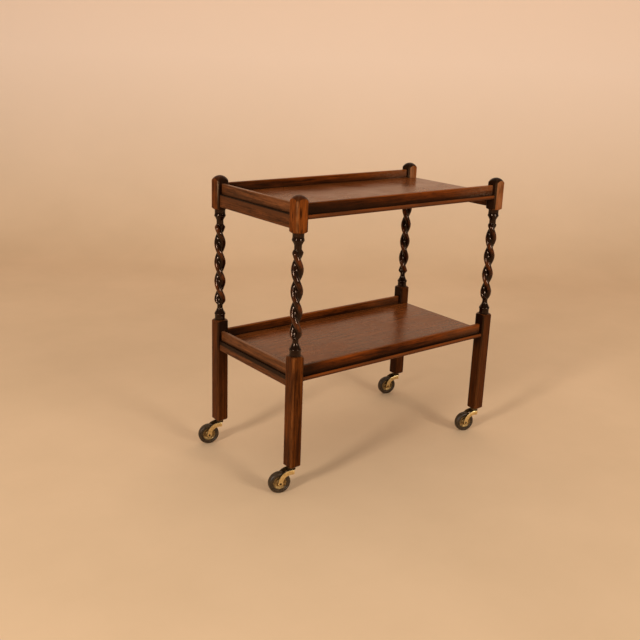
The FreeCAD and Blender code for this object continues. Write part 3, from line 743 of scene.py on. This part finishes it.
def build_fork(name):
    """A fork: two bent arms, bright outside and dark inside, with a dark bridge, boss and stem; the dark
    is painted shade with patina.
    """
    place, trail = caster_place(name)
    ease = 0.9
    bright, dark = range(2)

    def add_arm(bm, side):
        rings = []
        for middle, outward, half in arm_path(trail):
            soft = min(ease, half * 0.9)
            cut = soft * 0.3
            ring = []
            for across, out in ((-half, ARM_INNER), (half, ARM_INNER), (half, ARM_OUTER - soft),
                                (half - cut, ARM_OUTER - cut), (half - soft, ARM_OUTER),
                                (-half + soft, ARM_OUTER), (-half + cut, ARM_OUTER - cut),
                                (-half, ARM_OUTER - soft)):
                point = middle + outward * across + Vector((0, side * out, 0))
                ring.append(place @ (point * MM))
            rings.append(ring)
        # Inner faces and their corners take dark brass: painted shade with patina
        made = skin(bm, rings, paint=lambda level, edge: dark if edge in (0, 1, 7) else bright)
        bm.faces.new(made[0])
        bm.faces.new(made[-1])

    def add_bridge(bm):
        half = ARM_WIDTH / 2
        nose = -NOSE_REACH
        outline = [(nose + ease, -half), (BRIDGE_END, -half), (BRIDGE_END, half), (nose + ease, half),
                   (nose, half - ease), (nose, -half + ease)]
        rings = []
        for y in (-ARM_INNER, ARM_INNER):
            rings.append([place @ (Vector((x, y, CROWN_HEIGHT + z)) * MM) for x, z in outline])
        made = skin(bm, rings, paint=lambda level, edge: dark)
        bm.faces.new(made[0])
        bm.faces.new(made[-1])

    def add_boss(bm):
        base = Vector((0, 0, 0))
        low = CROWN_HEIGHT + ARM_WIDTH / 2 - 2.0
        profile = [(BOSS_RADIUS + 1.0, low), (BOSS_RADIUS + 0.2, low + 2.6),
                   (BOSS_RADIUS, SEAT_HEIGHT - 0.8), (BOSS_RADIUS - 0.8, SEAT_HEIGHT),
                   (STEM_RADIUS, SEAT_HEIGHT), (STEM_RADIUS, STEM_TOP - 1.0),
                   (STEM_RADIUS - 0.6, STEM_TOP)]
        made = lathe(bm, place, base, "Z", profile, sides=40, colour=dark)
        bm.faces.new(made[0])
        bm.faces.new(made[-1])

    def fill(bm):
        add_arm(bm, -1)
        add_arm(bm, 1)
        add_bridge(bm)
        add_boss(bm)

    new_piece(f"{name}_fork", f"caster_{name}", [fork_brass, dark_brass],
              [f"fork_{name}"], fill)


# Stage, light and camera

def build_stage():
    """A pale floor that sweeps up into a plain backdrop behind the cart."""
    azimuth = math.radians(CAMERA_AZIMUTH)
    forward = Vector((-math.sin(azimuth), math.cos(azimuth), 0))
    sideways = Vector((forward.y, -forward.x, 0))
    near_end = -6.0
    half_width = 8.0
    sweep = 1.4
    wall = 3.2
    wall_top = 5.0
    steps = 16
    path = [(near_end, 0.0), (wall - sweep, 0.0)]
    for step in range(1, steps + 1):
        angle = math.pi / 2 * step / steps
        path.append((wall - sweep + sweep * math.sin(angle), sweep - sweep * math.cos(angle)))
    path.append((wall, wall_top))
    bm = bmesh.new()
    rings = []
    for distance, height in path:
        middle = forward * distance + Vector((0, 0, height))
        rings.append([middle - sideways * half_width, middle + sideways * half_width])
    skin(bm, rings, closed_ring=False)
    mesh = bpy.data.meshes.new("floor")
    bm.to_mesh(mesh)
    bm.free()
    mesh.polygons.foreach_set("use_smooth", [True] * len(mesh.polygons))
    floor = bpy.data.objects.new("floor", mesh)
    bpy.context.scene.collection.objects.link(floor)
    graph = Graph("pale_floor")
    clouds = graph.noise(graph.coordinates, 1.6, 6.0, 0.6)
    ground = graph.ramp(clouds, *zip((0.3, 0.7), FLOOR_TONES))
    risen = graph.spread(graph.place()["Z"], 0.0, 1.0, 0.0, 1.0)
    base = graph.mix(risen, ground, BACKDROP_TONE)
    mesh.materials.append(graph.finish(Base_Color=base, Roughness=0.75))


def add_lamp(name, place, target, width, height, power):
    lamp = bpy.data.lights.new(name, "AREA")
    lamp.shape = "RECTANGLE"
    lamp.size = width
    lamp.size_y = height
    lamp.energy = power
    lamp.color = LAMP_COLOUR
    holder = bpy.data.objects.new(name, lamp)
    holder.location = place
    holder.rotation_euler = (Vector(target) - Vector(place)).to_track_quat("-Z", "Y").to_euler()
    bpy.context.scene.collection.objects.link(holder)


def build_light():
    """Soft lamps above and at both sides, in a plain room that is a quiet brown where it is seen."""
    middle = (0.0, 0.0, 0.4)
    add_lamp("overhead", (0.6, 0.8, 3.6), middle, width=5.0, height=5.0, power=22.0)
    add_lamp("left_box", (-3.9, -1.1, 1.7), middle, width=0.6, height=0.9, power=90.0)
    add_lamp("right_box", (0.7, -4.7, 1.7), middle, width=1.4, height=1.0, power=115.0)
    world = bpy.data.worlds.new("studio")
    bpy.context.scene.world = world
    world.use_nodes = True
    nodes = world.node_tree.nodes
    links = world.node_tree.links
    ambient = nodes["Background"]
    ambient.inputs["Color"].default_value = (*AMBIENT_COLOUR, 1.0)
    ambient.inputs["Strength"].default_value = 0.5
    walls = nodes.new("ShaderNodeBackground")
    walls.inputs["Color"].default_value = (*WALL_COLOUR, 1.0)
    rays = nodes.new("ShaderNodeLightPath").outputs
    seen = rays["Is Camera Ray"]
    for kind in ("Is Glossy Ray", "Is Transmission Ray"):
        either = nodes.new("ShaderNodeMath")
        either.operation = "MAXIMUM"
        links.new(seen, either.inputs[0])
        links.new(rays[kind], either.inputs[1])
        seen = either.outputs["Value"]
    shown = nodes.new("ShaderNodeMixShader")
    links.new(seen, shown.inputs["Fac"])
    links.new(ambient.outputs["Background"], shown.inputs[1])
    links.new(walls.outputs["Background"], shown.inputs[2])
    links.new(shown.outputs["Shader"], nodes["World Output"].inputs["Surface"])


def build_camera():
    """The camera at the photograph's view."""
    azimuth = math.radians(CAMERA_AZIMUTH)
    tilt = math.radians(CAMERA_TILT)
    roll = math.radians(CAMERA_ROLL)
    level = math.cos(tilt)
    back = Vector((math.sin(azimuth) * level, -math.cos(azimuth) * level, math.sin(tilt)))
    level_right = (-back).cross(Vector((0, 0, 1))).normalized()
    level_up = back.cross(level_right)
    right = level_right * math.cos(roll) + level_up * math.sin(roll)
    up = level_up * math.cos(roll) - level_right * math.sin(roll)
    lens = bpy.data.cameras.new("camera")
    lens.sensor_width = SENSOR
    lens.sensor_height = SENSOR
    lens.sensor_fit = "HORIZONTAL"
    lens.lens = FOCAL_PIXELS / PHOTO_PIXELS * SENSOR
    lens.clip_end = 50.0
    camera = bpy.data.objects.new("camera", lens)
    turn = Matrix((right, up, back)).transposed().to_4x4()
    camera.matrix_world = Matrix.Translation(CAMERA_PLACE) @ turn
    bpy.context.scene.collection.objects.link(camera)
    bpy.context.scene.camera = camera


# Woods and metals
leg_wood = oak("leg_oak_look", "Z", LEG_TONES, roughness=0.34, shine=0.09, wear=leg_wear_and_painted_light(TOP_TONE))
arris_wood = oak("arris_oak_look", "Z", ARRIS_TONES, roughness=0.34, shine=0.25,
                 wear=leg_wear_and_painted_light(ARRIS_TONES[1]))
turned_wood = turned_oak("turned_oak_look")
fork_brass = brass("brass_look", (0.82, 0.62, 0.29), (0.56, 0.39, 0.155), rough=0.26)
# Dark brass: painted shade with patina on the fork's inner faces, bridge and boss; it also darkens the
# axle
dark_brass = brass("dark_brass_look", (0.11, 0.064, 0.024), (0.05, 0.026, 0.009), rough=0.56)
hub_brass = brass("hub_brass_look", (0.40, 0.26, 0.10), (0.17, 0.10, 0.036), rough=0.48)
tyre_rubber = rubber("tyre_look")


def dress_boards():
    """Give the boards that stay as drawn their oak, with the grain along each board."""
    arches = {"upper": cathedral(0.005, 0.09), "lower": cathedral(-0.01, 0.03)}
    # Depth of the grime and painted shade down each panel's left end
    dark_end_depth = {"upper": 3.5 * MM, "lower": 15.0 * MM}
    front_reach = {"upper": 0.42, "lower": 0.10}
    back_reach = 0.2
    scuffed = {"upper": 0.18, "lower": 0.05}
    for tray in ("upper", "lower"):
        ledge, top = (corner.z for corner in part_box(f"{tray}_front_gallery"))
        apron = oak(f"{tray}_apron_look", "Y", APRON_TONES, roughness=0.36, shine=0.15)
        woods = {
            "panel": oak(f"{tray}_panel_look", "X", PANEL_TONES, roughness=0.22, shine=0.24,
                         figure=arches[tray], wear=panel_wear_and_painted_light(ledge, dark_end_depth[tray]), relief=0.04),
            "front_gallery": oak(f"{tray}_front_look", "X", SIDE_TONES, roughness=0.36, shine=0.08,
                                 wear=side_wear_and_painted_light(ledge, top, front_reach[tray], scuffed[tray])),
            "back_gallery": oak(f"{tray}_back_look", "X", SIDE_TONES, roughness=0.36, shine=0.08,
                                wear=side_wear_and_painted_light(ledge, top, back_reach, scuffed[tray])),
            "end_gallery": oak(f"{tray}_end_look", "Y", END_TONES, roughness=0.36, shine=0.2,
                               wear=end_wear_and_painted_light(ledge, top)),
            "left_apron": apron,
            "right_apron": apron,
        }
        for board, wood in woods.items():
            frame["nodes"][f"{tray}_{board}"].material_slots[0].material = wood
    frame["nodes"]["caster_sockets"].material_slots[0].material = fork_brass


for corner_name in STRAND_ANGLES:
    build_leg(corner_name)
    build_fork(corner_name)
    build_axle(corner_name)
    build_hub(corner_name)
    build_tyre(corner_name)
dress_boards()
build_stage()
build_light()
build_camera()
bpy.context.scene.view_settings.view_transform = "Standard"
